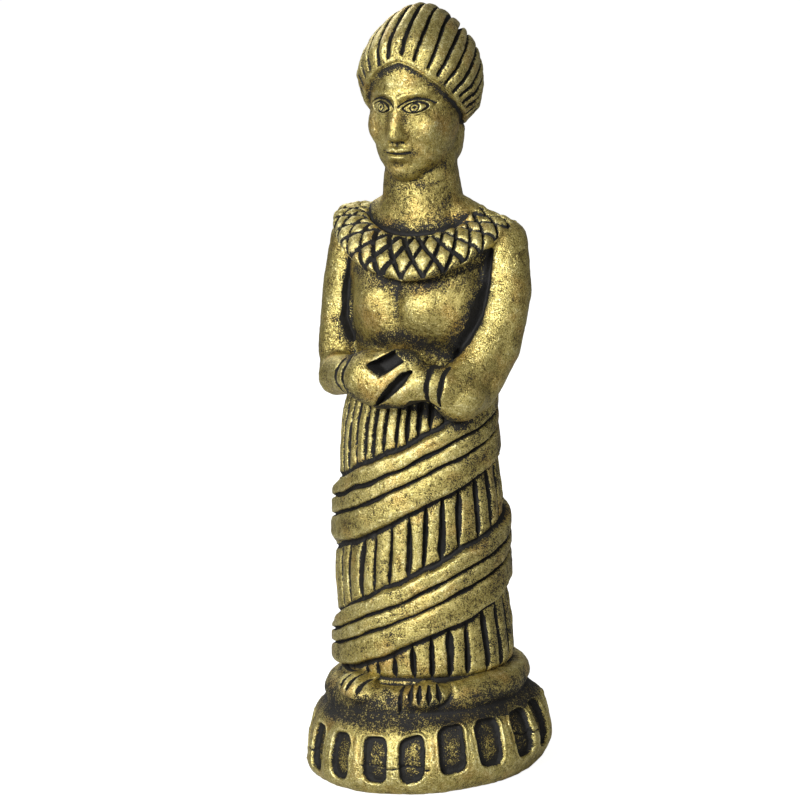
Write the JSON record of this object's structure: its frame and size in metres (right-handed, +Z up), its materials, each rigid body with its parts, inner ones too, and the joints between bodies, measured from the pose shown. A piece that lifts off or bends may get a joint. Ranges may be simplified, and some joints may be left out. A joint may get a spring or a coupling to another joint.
{
  "type": "clay female figurine",
  "caption": "Standing woman in a pleated skirt, wound sash and netted collar with clasped hands, moulded in one with a round panelled base.",
  "frame": {"origin": "underside of the base, under the middle of its bounding box", "axes": "+Z up through the figure, she faces -Y, and her left side is at +X"},
  "size_m": [0.0948, 0.0962, 0.2792],
  "materials": {
    "painted_clay": "gold paint rubbed over black, with black left in the cuts"
  },
  "bodies": {
    "root": {"figurine": "painted_clay"}
  },
  "joints": []
}
